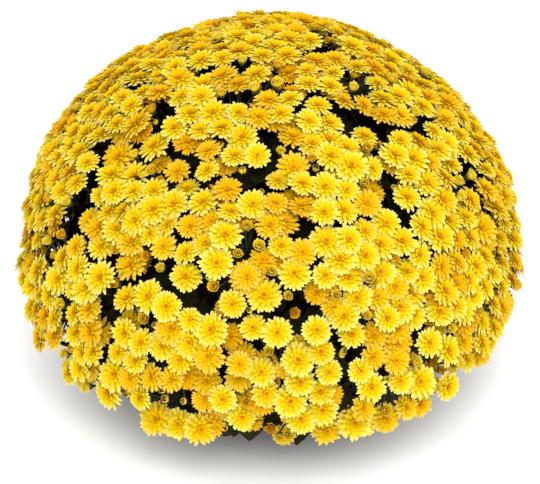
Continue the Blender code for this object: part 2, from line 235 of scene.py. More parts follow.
def two_tone(name, roughness, noise, colours, depth, sharp=False):
    """A finish of two colours, blended by noise that also raises it, or in sharp grains."""
    finish = Finish(name, roughness)
    grain = finish.noise(*noise)
    share = grain.step(*GRAIN_EDGES) if sharp else grain
    finish.set("Base Color", finish.mix(share, *colours))
    finish.bump(grain, depth)
    return finish


print("helpers: Value, Finish, colour, two_tone")

# %% [markdown]
# The floor is matt paper. A light from below would brighten it, but the dome's underside too.
# So the paper glows a little by itself, except under the plant.

# %% Floor finish
FIBRES = 180.0
GLOW_STRENGTH = 0.28
GLOW_RADII = (0.13, 0.24)


def floor_paper():
    """Pale fibres, and a glow that rises away from the pot's axis."""
    finish = Finish("floor_paper", 0.9)
    pale, paler = colour(0.90, 0.90, 0.90), colour(0.93, 0.93, 0.93)
    finish.set("Base Color", finish.mix(finish.noise(FIBRES), pale, paler))
    from_axis = finish.node("VectorMath", {0: finish.place()}, "Value", operation="LENGTH")
    far = from_axis.step(*GLOW_RADII)
    finish.set("Emission Color", finish.mix(far, colour(0, 0, 0), colour(1, 1, 1)))
    finish.set("Emission Strength", GLOW_STRENGTH)
    return finish


studio_floor.data.materials.append(floor_paper().material)
print("floor:", FLOOR_SIZE, "m across")

# %% [markdown]
# Petals, stalks, leaves, soil and pot are all spindles: a start point, rings of points, an
# end point, closed by faces. Copies of one petal would be alike, but here whole arrays fill a
# mesh at once, so every petal can differ.

# %% Helpers for meshes
SHARP_ANGLE = math.radians(50)


def spindle_faces(rings, sides):
    """The faces of one spindle: a fan, bands of quads between the rings, a fan."""
    around = np.arange(sides)
    after = (around + 1) % sides
    ring = 1 + sides * np.arange(rings)
    start = np.stack([0 * around, 1 + after, 1 + around], axis=-1)
    low, high = ring[:-1, None], ring[1:, None]
    bands = np.stack([low + around, low + after, high + after, high + around], axis=-1)
    last = 0 * around + 1 + sides * rings
    end = np.stack([ring[-1] + around, ring[-1] + after, last], axis=-1)
    return start, bands.reshape(-1, 4), end


def spindles(starts, rings, ends):
    """Points and faces of many spindles: starts (n, 3), rings (n, rings, sides, 3), ends."""
    count, ring_count, sides, _ = rings.shape
    body = rings.reshape(count, ring_count * sides, 3)
    points = np.concatenate([starts[:, None], body, ends[:, None]], axis=1)
    offset = points.shape[1] * np.arange(count)[:, None, None]
    faces = [
        (each[None] + offset).reshape(-1, each.shape[1])
        for each in spindle_faces(ring_count, sides)
    ]
    return points.reshape(-1, 3), faces


def spread(start, ring, end):
    """One value a point, in the order of spindles' points."""
    flat = ring.reshape(len(start), ring.shape[1] * ring.shape[2])
    return np.concatenate([start[:, None], flat, end[:, None]], axis=1).ravel()


def fill(mesh, points, faces, slots):
    """Fills an empty mesh with points, faces and their material slots."""
    counts = np.concatenate([np.full(len(each), each.shape[1]) for each in faces])
    corners = np.concatenate([each.ravel() for each in faces])
    mesh.vertices.add(len(points))
    mesh.vertices.foreach_set("co", points.ravel().astype(np.float32))
    mesh.loops.add(len(corners))
    mesh.loops.foreach_set("vertex_index", corners.astype(np.int32))
    mesh.polygons.add(len(counts))
    mesh.polygons.foreach_set("loop_start", (np.cumsum(counts) - counts).astype(np.int32))
    mesh.polygons.foreach_set("material_index", slots.astype(np.int32))
    mesh.update(calc_edges=True)


class Batch:
    """Gathers spindles and their marks, then makes one piece of them."""

    def __init__(self):
        self.points, self.faces, self.marks, self.slots = [], [], [], []
        self.total = 0

    def add(self, shape, marks=(0.0, 0.0, 0.0), slot=0):
        """Adds a shape with its three marks: one number each, or one a point."""
        points, faces = shape
        columns = [np.broadcast_to(mark, len(points)) for mark in marks]
        self.points.append(points)
        self.marks.append(np.stack(columns, axis=-1))
        for each in faces:
            self.faces.append(each + self.total)
            self.slots.append(np.full(len(each), slot))
        self.total += len(points)

    def make(self, name, *finishes):
        """A mesh object with its marks as an attribute."""
        mesh = bpy.data.meshes.new(name)
        fill(mesh, np.concatenate(self.points), self.faces, np.concatenate(self.slots))
        marks = mesh.attributes.new("marks", "FLOAT_VECTOR", "POINT")
        marks.data.foreach_set("vector", np.concatenate(self.marks).ravel().astype(np.float32))
        mesh.polygons.foreach_set("use_smooth", np.ones(len(mesh.polygons), bool))
        mesh.set_sharp_from_angle(angle=SHARP_ANGLE)
        for finish in finishes:
            mesh.materials.append(finish.material)
        piece = add_object(name, mesh)
        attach(piece, "root")
        return piece


def triangles(piece):
    """A piece's triangles: its faces' corners, less two a face."""
    return len(piece.data.loops) - 2 * len(piece.data.polygons)


print("faces of a small spindle:", sum(map(len, spindle_faces(3, 4))))

# %% [markdown]
# The plant is pinched and turned as it grows, until it is a dome. Sculpting would give no
# numbers for places on it, so it is half an ellipse above its widest line and a flatter half
# below, turned about the pot's axis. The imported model's seed and rules give the same spray
# heads.

# %% The dome and its sprays
DOME_RADIUS = 0.243
DOME_RISE = 0.250
DOME_DROP = 0.104
DOME_MIDDLE = 0.108
DOME_LAST_ANGLE = math.radians(131)
SPRAYS = 38
SPRAY_SPACING = 0.125
SETTLE_STEPS = 80
SETTLE_RATE = 0.25
THINNING_POWER = 3
SEED = 9
AREA_STEPS = 400
TINY = 1e-5


def dome_profile(angle, depth=0.0):
    """Radius, height and outward normal: an ellipse by angle from the top, moved inwards."""
    rise = np.where(angle < math.pi / 2, DOME_RISE, DOME_DROP)
    across, up = np.sin(angle) / DOME_RADIUS, np.cos(angle) / rise
    size = np.hypot(across, up)
    across, up = across / size, up / size
    radius = DOME_RADIUS * np.sin(angle) - depth * across
    return radius, DOME_MIDDLE + rise * np.cos(angle) - depth * up, across, up


def at(radius, turn, height):
    """Places by radius and turn about the pot's axis, with cosine and sine, and height."""
    parts = radius * np.cos(turn), radius * np.sin(turn), height
    return np.stack(np.broadcast_arrays(*parts), axis=-1)


def dome_points(angle, turn, depth=0.0):
    """Places on the dome and their outward normals: the profile turned."""
    radius, height, across, up = dome_profile(angle, depth)
    return at(radius, turn, height), at(across, turn, up)


def even_angles(count, thin):
    """Angles that cut the dome's area into equal shares, counted less towards the rim."""
    angle = np.linspace(0, DOME_LAST_ANGLE, AREA_STEPS)
    radius, height, _, _ = dome_profile(angle)
    step = np.hypot(np.diff(radius), np.diff(height))
    counted = 1 - thin * (angle[1:] / angle[-1]) ** THINNING_POWER
    share = step * (radius[1:] + radius[:-1]) / 2 * counted
    area = np.concatenate([[0], np.cumsum(share)])
    return np.interp((np.arange(count) + 0.5) / count * area[-1], area, angle)


def scatter(count, spacing, rng, steps=SETTLE_STEPS, thin=0.0):
    """Seeded places on the dome. In each step a place moves by a part of the summed gaps
    to the places that are nearer than the spacing."""
    angle = even_angles(count, thin)
    turn = rng.uniform(0, math.tau, count)
    for _ in range(steps):
        place, _ = dome_points(angle, turn)
        gap = place[:, None] - place[None]
        far = np.linalg.norm(gap, axis=-1) + TINY
        push = np.clip(spacing / far - 1, 0, 1)
        np.fill_diagonal(push, 0)
        moved = place + SETTLE_RATE * (gap * push[..., None]).sum(axis=1)
        turn = np.arctan2(moved[:, 1], moved[:, 0])
        drop = moved[:, 2] - DOME_MIDDLE
        rise = np.where(drop > 0, DOME_RISE, DOME_DROP)
        across = np.hypot(moved[:, 0], moved[:, 1]) / DOME_RADIUS
        angle = np.minimum(np.arctan2(across, drop / rise), DOME_LAST_ANGLE)
    return angle, turn


def unit(vectors):
    """The vectors, each divided by its length."""
    return vectors / np.linalg.norm(vectors, axis=-1, keepdims=True)


heads, head_axes = dome_points(*scatter(SPRAYS, SPRAY_SPACING, np.random.default_rng(SEED)))
print("spray heads:", len(heads))

# %% [markdown]
# The flowers of a spray stand close at its head, some sprays stand out, and all turn up to
# the light. Even places on a smooth dome would look printed, so each is drawn to its spray's
# head and lifted with it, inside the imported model's box.

# %% Places among the sprays
FACE_DEPTH = 0.005
SIDE_OUTSET = 0.009
LIFT_HIGH = 0.0015
SPRAY_LIFT = 0.0020
SPRAY_SPREAD = 0.0050
LIFT_SEED = 611
TOP_SHIFT = 0.006
SHIFT_FROM = 0.20
SHIFT_OVER = 0.15
GATHER = 0.06
RIM_GATHER = 0.12
RIM_POWER = 6
BULGE = 0.0030
BULGE_WAVES = (23, 29, 26)
BULGE_PHASES = (0.5, 2.1, 1.3)
BULGE_SINK = 1
LEAN_OUT = 0.66
TILT_SPREAD = 0.15
REACH_ACROSS = 1.09
REACH_ALONG = 0.40

spray_lift = np.random.default_rng(LIFT_SEED).normal(SPRAY_LIFT, SPRAY_SPREAD, SPRAYS)


def facing(angle, turn, rng):
    """Axes that lean out by a part of the angle from the top, and a little by chance."""
    lean = LEAN_OUT * angle
    axes = at(np.sin(lean), turn, np.cos(lean))
    return unit(axes + rng.normal(0, TILT_SPREAD, axes.shape))


def nearest_head(places):
    """The number of the spray head nearest to each place."""
    return np.linalg.norm(places[:, None] - heads[None], axis=-1).argmin(axis=1)


def near_rim(angle):
    """0 over the top and sides, 1 at the lower edge: a high power of the angle."""
    return (angle / DOME_LAST_ANGLE) ** RIM_POWER


def on_sprays(angle, turn, lift):
    """Places drawn to their spray's head and lifted, with the heads' numbers. The lift is
    their own, plus the spray's, plus three slow sine waves."""
    place, out = dome_points(angle, turn, FACE_DEPTH - SIDE_OUTSET * np.sin(angle) ** 2)
    number = nearest_head(place)
    waves = np.sin(place * BULGE_WAVES + BULGE_PHASES).sum(axis=1)
    total = np.minimum(lift + BULGE * (waves - BULGE_SINK) + spray_lift[number], LIFT_HIGH)
    gather = GATHER + RIM_GATHER * near_rim(angle)
    place = place + gather[:, None] * (heads[number] - place) + total[:, None] * out
    place[:, 0] -= TOP_SHIFT * np.clip((place[:, 2] - SHIFT_FROM) / SHIFT_OVER, 0, 1)
    return place, number


def inside_box(places, axes, sizes):
    """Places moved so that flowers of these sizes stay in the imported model's box: each
    reaches about its radius square to its axis, and less along it."""
    across = REACH_ACROSS * np.sqrt(1 - axes ** 2)
    reach = sizes[:, None] * (across + REACH_ALONG * np.abs(axes))
    low, high = np.array(plain(cad_box))
    return np.clip(places, low + reach, high - reach)


print("lift of the sprays, m:", spray_lift.min().round(4), spray_lift.max().round(4))

# %% [markdown]
# Over a thousand flowers share the dome, some at its face, others a centimetre deeper, with
# dark gaps between. A grid would show, so two tiers are scattered by seed, thinner at the
# rim, and settled only briefly, so that some overlap.

# %% Two tiers of flowers
# flowers, spacing and settling steps of each tier
UPPER_TIER = (830, 0.0236, 24)
LOWER_TIER = (460, 0.0240, 6)
LOWER_LIFT = -0.010
LOWER_TIER_SHADE = 0.4
RIM_THINNING = 0.95
LIFT_SPREAD = 0.0028
LIFT_MEAN = -0.5
LIFT_LIMITS = (-2, 1)
FLOWER_RADIUS = 0.0145
FLOWER_SPREAD = 0.11
SIZE_LIMIT = 1.6
DEEPEST_TONE = 0.25
BUTTON_SHARE = 0.12
RIM_BUTTON_SHARE = 0.42
LOWER_BUTTON_SHARE = 0.30

flower_rng = np.random.default_rng(SEED + 1)
tiers = [
    scatter(count, spacing, flower_rng, steps, RIM_THINNING)
    for count, spacing, steps in (UPPER_TIER, LOWER_TIER)
]
flower_angle, flower_turn = np.concatenate(tiers, axis=1)
flowers = len(flower_angle)
is_lower = np.arange(flowers) >= UPPER_TIER[0]

chance = flower_rng.normal(LIFT_MEAN, 1, flowers).clip(*LIFT_LIMITS)
flower_lift = LIFT_SPREAD * chance + LOWER_LIFT * is_lower
flower_face, owner = on_sprays(flower_angle, flower_turn, flower_lift)
flower_axis = facing(flower_angle, flower_turn, flower_rng)
chance = flower_rng.normal(0, 1, flowers).clip(-SIZE_LIMIT, SIZE_LIMIT)
flower_size = FLOWER_RADIUS * (1 + FLOWER_SPREAD * chance)
flower_face = inside_box(flower_face, flower_axis, flower_size)

rim_share = RIM_BUTTON_SHARE * near_rim(flower_angle)
button_share = BUTTON_SHARE + rim_share + LOWER_BUTTON_SHARE * is_lower
is_button = flower_rng.uniform(0, 1, flowers) < button_share
# the lower tier sits deeper, so its tone is cut as painted shade; the random tone is partly
# painted shade too
lower_tier_shade = np.where(is_lower, LOWER_TIER_SHADE, 1.0)
flower_tone_and_shade = flower_rng.uniform(DEEPEST_TONE, 1, flowers) * lower_tier_shade
print("open flowers:", int((~is_button).sum()), "half open:", int(is_button.sum()))

# %% [markdown]
# A petal is a thin strap, narrow at its root. A sheet would have no inside, so its section
# has three points, two raised edges and a keel. One call bends and places one whorl's petals
# on many flowers.

# %% Petals as a function of length and section
PETAL_CUP = 0.30
PETAL_THICKNESS = 0.00022
PETAL_ACROSS = np.array([-1.0, 1.0, 0.0])
PETAL_RISE = np.array([1.0, 1.0, 0.0])
PETAL_KEEL = np.array([0.0, 0.0, -1.0])
TURN_SPREAD = 0.10
RISE_SPREAD = 3.5
BEND_SPREAD = 5
ROLL_SPREAD = 0.11
LENGTH_SPREAD = 0.05
OFF_AXIS = np.array([0.31, 0.17, 0.94])


def around(axis, turn):
    """Directions square to the axes at these turns about them, by cosine and sine. The
    turns are one row for all axes, or one row each."""
    side = unit(np.cross(axis, OFF_AXIS))
    ahead = np.cross(axis, side)[:, None]
    return np.cos(turn)[..., None] * side[:, None] + np.sin(turn)[..., None] * ahead


def petal_rings(line, sideways, above, width):
    """The section's points at each station: across by the width, the edges raised by the
    cup and the keel lowered by the thickness."""
    lift = PETAL_CUP * width * PETAL_RISE[:, None] + PETAL_THICKNESS * PETAL_KEEL[:, None]
    across = width * PETAL_ACROSS[:, None] * sideways[..., None, :]
    return line[..., None, :] + across + lift * above[..., None, :]


def whorl(face, axis, size, spin, spec, rng):
    """One ring of petals on every flower: an arc leaves the heart at the whorl's rise, bends
    by its bend, and carries the section, which rolls a little by chance."""
    count, reach, width, rise, bend, root, height, (stations, widths) = spec
    shape = (len(face), count)
    total = len(face) * count
    turn = math.tau * (np.arange(count) + rng.normal(0, TURN_SPREAD, shape)) / count
    rise = np.radians(rise + rng.normal(0, RISE_SPREAD, shape))[..., None]
    bend = np.radians(bend + rng.normal(0, BEND_SPREAD, shape))[..., None] + TINY
    roll = rng.normal(0, ROLL_SPREAD, shape)[..., None, None]
    scale = size[:, None, None]
    length = scale * reach * (1 + rng.normal(0, LENGTH_SPREAD, shape))[..., None]

    outward = around(axis, turn + spin[:, None])
    sideways = np.cross(outward, axis[:, None])[:, :, None]
    outward = outward[:, :, None]
    up = axis[:, None, None]
    along = np.array([0.0, *stations, 1.0])
    heading = rise + bend * along
    far = root * scale + length * (np.sin(heading) - np.sin(rise)) / bend
    high = height * scale - length * (np.cos(heading) - np.cos(rise)) / bend
    line = face[:, None, None] + far[..., None] * outward + high[..., None] * up

    above = np.cos(heading)[..., None] * up - np.sin(heading)[..., None] * outward
    rolled_side = np.cos(roll) * sideways + np.sin(roll) * above
    rolled_up = np.cos(roll) * above - np.sin(roll) * sideways
    inner = np.s_[:, :, 1:-1]
    widths = (width * scale * np.array(widths))[..., None, None]
    rings = petal_rings(line[inner], rolled_side[inner], rolled_up[inner], widths)
    rings = rings.reshape(total, len(stations), len(PETAL_ACROSS), 3)
    petals = spindles(line[:, :, 0].reshape(total, 3), rings, line[:, :, -1].reshape(total, 3))
    ring_along = np.broadcast_to(np.array(stations)[:, None], rings.shape[:3])
    return petals, spread(np.zeros(total), ring_along, np.ones(total))


print("points on a petal's section:", len(PETAL_ACROSS))

# %% [markdown]
# An open flower has five whorls, the outer ones flat and long, the inner ones erect and
# short; a half-open flower has two, a bud one that closes over itself. A function each would
# repeat itself, so each is a row: petals, reach and width in flower radii, rise and bend in
# degrees, the root's radius and height in flower radii, and the widths.

# %% The whorls of open flowers, half-open ones and buds
ROUND = ((0.42, 0.74, 0.93), (0.90, 1.0, 0.58))
BLUNT = ((0.55, 0.87), (1.0, 0.68))
POINTED = ((0.66,), (1.0,))
INNER_WHORLS = (
    (12, 0.79, 0.140, 9, 4, 0.07, 0.03, POINTED),
    (10, 0.60, 0.136, 20, 8, 0.06, 0.07, POINTED),
    (8, 0.39, 0.116, 40, 20, 0.05, 0.09, POINTED),
)
UPPER_WHORLS = (
    (14, 0.94, 0.124, -3, 4, 0.08, -0.04, ROUND),
    (14, 0.92, 0.124, 2, 4, 0.08, -0.01, ROUND),
) + INNER_WHORLS
LOWER_WHORLS = (
    (14, 0.94, 0.128, -3, 4, 0.08, -0.04, BLUNT),
    (14, 0.92, 0.128, 2, 4, 0.08, -0.01, BLUNT),
) + INNER_WHORLS
BUTTON_WHORLS = (
    (12, 0.50, 0.115, 48, 40, 0.16, -0.06, BLUNT),
    (9, 0.40, 0.105, 66, 44, 0.13, -0.02, POINTED),
)
BUD_WHORLS = (
    (9, 1.5, 0.30, 50, 85, 0.55, -0.55, BLUNT),
)
print("petals of an open flower:", sum(spec[0] for spec in UPPER_WHORLS))

# %% [markdown]
# A low dome closes the throat of a flower, and a green cup of bracts sits under it, a longer
# one under a bud. Balls would be too round, so all are two rings about the flower's axis. A
# stalk runs from each cup to its spray's fork. A straight tube would meet the cup at an
# angle, so it follows a curve along the spray's axis first and the flower's last.

# %% Hearts, cups and stalks
CUP_SIDES = 6
# radii and levels of the two rings, start, end and wobble: a heart's in its own radii, a
# cup's in flower radii
HEART = ((1.0, 0.7), (0.0, 0.45), -1.0, 0.6, 0.0)
FLOWER_CUP = ((0.18, 0.30), (-0.33, -0.14), -0.42, 0.02, 0.12)
BUD_CALYX = ((0.55, 0.74), (-0.75, -0.25), -1.0, -0.1, 0.08)


def even_turns(count):
    """Turns that share a full circle evenly."""
    return np.arange(count) * math.tau / count


def lathe(centre, axis, radii, levels, sides, start, end, wobble):
    """Rings of these radii and levels along each axis, with end points. The wobble makes
    every second corner stand out."""
    turn = even_turns(sides)
    uneven = 1 + wobble * np.cos(turn * (sides // 2))[:, None]
    rings = centre[:, None, None] + radii[..., None, None] * uneven * around(axis, turn)[:, None]
    rings = rings + levels[..., None, None] * axis[:, None, None]
    return spindles(centre + start[:, None] * axis, rings, centre + end[:, None] * axis)


def cups(face, axis, size, girth, spec):
    """Hearts or cups from a row of numbers, widened by the girth."""
    radii, levels, start, end, wobble = spec
    radii = (girth * size)[:, None] * np.array(radii)
    levels = size[:, None] * np.array(levels)
    return lathe(face, axis, radii, levels, CUP_SIDES, start * size, end * size, wobble)


STALK_RADIUS = 0.0011
STALK_SIDES = 4
STALK_STATIONS = np.linspace(0, 1, 4)
STALK_REACH = 0.45
STALK_SIDE = 0.37 * np.array([0.6, -0.5, 0.62])


def stalks(foot, foot_axis, top, top_axis, radius):
    """Tubes along cubic curves from the foot's axis to the top's: four control points,
    blended by powers of the share of the length."""
    share = STALK_STATIONS[None, :, None]
    rest = 1 - share
    reach = STALK_REACH * np.linalg.norm(top - foot, axis=-1)[:, None]
    controls = (foot, foot + reach * foot_axis, top - reach * top_axis, top)
    first, second, third, fourth = (each[:, None] for each in controls)
    line = rest ** 3 * first + 3 * share * rest ** 2 * second
    line = line + 3 * share ** 2 * rest * third + share ** 3 * fourth
    ahead = unit(np.gradient(line, axis=1))
    side = unit(np.cross(ahead, top_axis[:, None] + STALK_SIDE))[:, :, None]
    other = np.cross(ahead, side[:, :, 0])[:, :, None]
    turn = even_turns(STALK_SIDES)[:, None]
    rings = line[:, :, None] + radius * (np.cos(turn) * side + np.sin(turn) * other)
    return spindles(foot - radius * ahead[:, 0], rings, top + radius * ahead[:, -1])


print("sides of a cup:", CUP_SIDES, "and of a stalk:", STALK_SIDES)

# %% [markdown]
# Small round buds fill the wider gaps. Placed like the flowers they would often hide inside
# them, so more places are drawn, and the buds take those furthest from any flower.

# %% Where the buds stand
BUDS = 170
BUD_TRIALS = 3
BUD_SPACING = 0.0165
BUD_LIFT = -0.004
BUD_DEPTH = 0.008
BUD_RADIUS = 0.0044
BUD_SIZES = (0.75, 1.2)

bud_rng = np.random.default_rng(SEED + 2)
bud_angle, bud_turn = scatter(BUD_TRIALS * BUDS, BUD_SPACING, bud_rng, 0)
bud_lift = BUD_LIFT - bud_rng.uniform(0, BUD_DEPTH, len(bud_angle))
bud_face, bud_owner = on_sprays(bud_angle, bud_turn, bud_lift)
room = np.linalg.norm(bud_face[:, None] - flower_face[None], axis=-1).min(axis=1)
roomy = np.argsort(-room)[:BUDS]
bud_face = bud_face[roomy]
bud_owner = bud_owner[roomy]
bud_axis = facing(bud_angle[roomy], bud_turn[roomy], bud_rng)
bud_size = BUD_RADIUS * bud_rng.uniform(*BUD_SIZES, BUDS)
print("buds:", len(bud_face), "with at least", room[roomy].min().round(4), "m of room")

# %% [markdown]
# A flower is strong yellow with painted shade, deep gold at the petals' roots where they
# overlap and orange in the throat, and a painted lemon highlight at the outer tips. Some are a
# tone deeper by chance, partly as painted shade, and the lower tier more so, as painted shade.
# A painted texture would need every petal unfolded. So each point keeps three marks: how far
# along the petal it is, how far in its whorl is, and the flower's tone. Stalks show only in
# the gaps, where a fresh green would glow, so their greens are darkened to olive as painted
# shade.

# %% Finishes of flowers and stalks
ROOT_SHADE_GOLD = colour(0.82, 0.47, 0.001)
YELLOW = colour(0.82, 0.64, 0.002)
LEMON_HIGHLIGHT = colour(0.92, 0.82, 0.24)
THROAT_SHADE_ORANGE = colour(0.70, 0.26, 0.006)
DEEP_GOLD_TONE_AND_SHADE = colour(0.78, 0.38, 0.001)
HEART_BROWNS = colour(0.34, 0.13, 0.004), colour(0.62, 0.32, 0.012)


def yellow_petals():
    """Colours along the petal and from whorl to whorl, with painted shade at the roots and
    throat, a painted highlight at the tips, and deeper where the tone is low.
    """
    finish = Finish("petal_yellow", 0.55)
    along, layer, tone = finish.marks()
    grain = finish.noise(900.0, 2.0)
    # the outer whorls' tips get a painted lemon highlight, weaker on flowers of low tone
    tip = along.step(0.55, 1.0)
    outer = (1 - layer * 1.2).step(0.0, 0.9)
    highlight_by_tone = 0.55 + 0.45 * tone
    # orange at the inner whorls' roots is painted shade in the throat
    throat_shade = layer.step(0.45, 1.0) * (1 - along)
    # a low tone, by chance and in the lower tier, deepens the gold, partly as painted shade
    deep_tone_and_shade = (1 - tone).step(0.35, 0.9)
    # deep gold at the petals' roots, where they overlap, is painted shade
    strap = finish.mix(along.step(0.05, 0.55), ROOT_SHADE_GOLD, YELLOW)
    strap = finish.mix(tip * outer * highlight_by_tone, strap, LEMON_HIGHLIGHT)
    strap = finish.mix(throat_shade * 0.9, strap, THROAT_SHADE_ORANGE)
    strap = finish.mix(deep_tone_and_shade * 0.75 + grain * 0.08, strap, DEEP_GOLD_TONE_AND_SHADE)
    finish.set("Base Color", strap)
    finish.set("Roughness", 0.50 + 0.15 * grain)
    finish.set("Specular IOR Level", 0.03)
    finish.bump(grain, 0.0002, 0.6)
    return finish


# these greens are darkened as painted shade, since the stalks show in the shaded gaps
STALK_DARK = colour(0.012, 0.020, 0.004)
STALK_LIGHT = colour(0.028, 0.040, 0.008)
STALK_OLIVE = colour(0.036, 0.034, 0.008)


def shaded_green_stalks():
    """Two mottled greens darkened as painted shade, more olive where the tone is high."""
    finish = Finish("leaf_green", 0.55)
    _, _, tone = finish.marks()
    mottle = finish.noise(260.0, 4.0)
    green = finish.mix(mottle, STALK_DARK, STALK_LIGHT)
    finish.set("Base Color", finish.mix(tone * 0.35, green, STALK_OLIVE))
    finish.bump(mottle, 0.0005, 0.7)
    return finish


petal_finish = yellow_petals()
heart_finish = two_tone("heart_brown", 0.8, (1400.0, 2.0), HEART_BROWNS, 0.0006, sharp=True)
green_finish = shaded_green_stalks()
finishes = petal_finish, heart_finish, green_finish
print("finishes:", [finish.material.name for finish in finishes])

# %% [markdown]
# Every spray is grown as two pieces, its flowers and buds, and its cups and stalks, both in
# place of its solid. One piece a flower would be a thousand objects, and one for all too
# large to handle.

# %% Grow the sprays
FORK_DEPTH = 0.027
LAST_WHORL = len(UPPER_WHORLS) - 1
THROAT = (0.11, 0.07)
BUD_THROAT = (0.42, 0.0)
HEART_MARKS = (0.0, 1.0, 0.5)
BUD_TONE = 0.5
HALF_OPEN_GIRTH = 0.8
CUP_MARKS = (0.5, 0.0, 0.6)
CALYX_MARKS = (0.5, 0.0, 1.0)
STALK_MARKS = (0.5, 0.0, 0.8)
STALK_TOP = 0.38
CALYX_FOOT = 0.95

forks = heads - FORK_DEPTH * head_axes
all_flowers = (flower_face, flower_axis, flower_size, flower_tone_and_shade)
all_buds = (bud_face, bud_axis, bud_size, np.full(BUDS, BUD_TONE))
# who belongs, the sprays they belong to, their arrays, whorls, first and last layer, throat
KINDS = (
    (~is_button & ~is_lower, owner, all_flowers, UPPER_WHORLS, (0.0, 1.0), THROAT),
    (~is_button & is_lower, owner, all_flowers, LOWER_WHORLS, (0.0, 1.0), THROAT),
    (is_button, owner, all_flowers, BUTTON_WHORLS, (0.45, 0.6), THROAT),
    (np.ones(BUDS, bool), bud_owner, all_buds, BUD_WHORLS, (0.2, 0.2), BUD_THROAT),
)


def spray_petals(number):
    """One spray's petals and hearts. Each whorl is turned on by half a petal."""
    rng = np.random.default_rng([SEED, number])
    petals = Batch()
    for of_kind, owners, arrays, whorls, (first, last), (radius, height) in KINDS:
        mine = of_kind & (owners == number)
        face, axis, size, tone = (array[mine] for array in arrays)
        spin = rng.uniform(0, math.tau, len(face))
        for step, spec in enumerate(whorls):
            turned_on = spin + step * math.pi / spec[0]
            shape, along = whorl(face, axis, size, turned_on, spec, rng)
            layer = first + (last - first) * step / LAST_WHORL
            tones = np.repeat(tone, len(along) // max(len(face), 1))
            petals.add(shape, (along, layer, tones))
        centre = face + height * size[:, None] * axis
        petals.add(cups(centre, axis, radius * size, 1.0, HEART), HEART_MARKS, slot=1)
    return petals


def spray_greens(number):
    """One spray's cups and calyxes, and the stalks from its fork up to them."""
    mine = owner == number
    face, axis, size = flower_face[mine], flower_axis[mine], flower_size[mine]
    girth = np.where(is_button[mine], HALF_OPEN_GIRTH, 1.0)
    mine = bud_owner == number
    bud, ahead, scale = bud_face[mine], bud_axis[mine], bud_size[mine]
    cup_feet = face - STALK_TOP * size[:, None] * axis
    bud_feet = bud - CALYX_FOOT * scale[:, None] * ahead
    tops = np.concatenate([cup_feet, bud_feet])
    top_axes = np.concatenate([axis, ahead])
    fork = np.broadcast_to(forks[number], tops.shape)
    fork_axis = np.broadcast_to(head_axes[number], tops.shape)
    greens = Batch()
    greens.add(cups(face, axis, size, girth, FLOWER_CUP), CUP_MARKS)
    greens.add(cups(bud, ahead, scale, 1.0, BUD_CALYX), CALYX_MARKS)
    greens.add(stalks(fork, fork_axis, tops, top_axes, STALK_RADIUS), STALK_MARKS)
    return greens


def grow_spray(number):
    """Both pieces of one spray, in place of its solid."""
    node = f"spray_{number + 1:02d}"
    flowers = spray_petals(number).make(node + "_flowers", petal_finish, heart_finish)
    green = spray_greens(number).make(node + "_stalks", green_finish)
    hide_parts(node)
    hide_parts(node)
    return triangles(flowers), triangles(green)


spray_counts = np.array([grow_spray(number) for number in range(SPRAYS)])
print("petal triangles:", spray_counts[:, 0].sum(), "stalk triangles:", spray_counts[:, 1].sum())

# %% [markdown]
# A leaf is lobed and folded along its midrib. A picture on a card would be flat, so it is a
# spindle of flat sections, each with two edges, a top and an underside. Their half-widths
# over the length make the lobes.

# %% Leaves as a function of length and section
LEAF_LENGTH = 0.042
LEAF_HALF_WIDTH = 0.015
LEAF_THICKNESS = 0.0005
LEAF_ACROSS = np.array([-1.0, 0.0, 1.0, 0.0])
LEAF_RISE = np.array([1.0, 0.0, 1.0, 0.0])
LEAF_KEEL = np.array([0.0, 0.0, 0.0, -1.0])
LEAF_STATIONS = np.array([0.04, 0.12, 0.20, 0.28, 0.36, 0.44, 0.53, 0.60, 0.69, 0.77, 0.86, 0.94])
LEAF_LOBES = np.array([0.05, 0.07, 0.34, 0.72, 0.50, 0.94, 0.98, 0.58, 0.80, 0.66, 0.48, 0.20])
LEAF_SWEEP = np.array([0.0, 0.0, 0.02, 0.06, 0.00, 0.07, 0.04, -0.01, 0.05, 0.03, 0.02, 0.01])
LOBE_SPREAD = 0.07
RIPPLE_SPREAD = 0.10
LEAF_FOLDS = (0.1, 0.45)
LEAF_CURLS = (-0.2, 0.7)


def leaf_sections(scale, fold, rng):
    """Half-widths, varied by chance, and lifts: the edges rise by the fold and a ripple,
    and the keel lies as deep as the leaf is thick."""
    shape = (len(scale), len(LEAF_STATIONS))
    half = LEAF_HALF_WIDTH * LEAF_LOBES * scale[:, None]
    half = (half * (1 + rng.normal(0, LOBE_SPREAD, shape)))[..., None, None]
    ripple = rng.normal(0, RIPPLE_SPREAD, (*shape, len(LEAF_RISE)))[..., None]
    rise = half * LEAF_RISE[:, None] * (fold[:, None, None, None] + ripple)
    return half, rise + LEAF_THICKNESS * LEAF_KEEL[:, None]


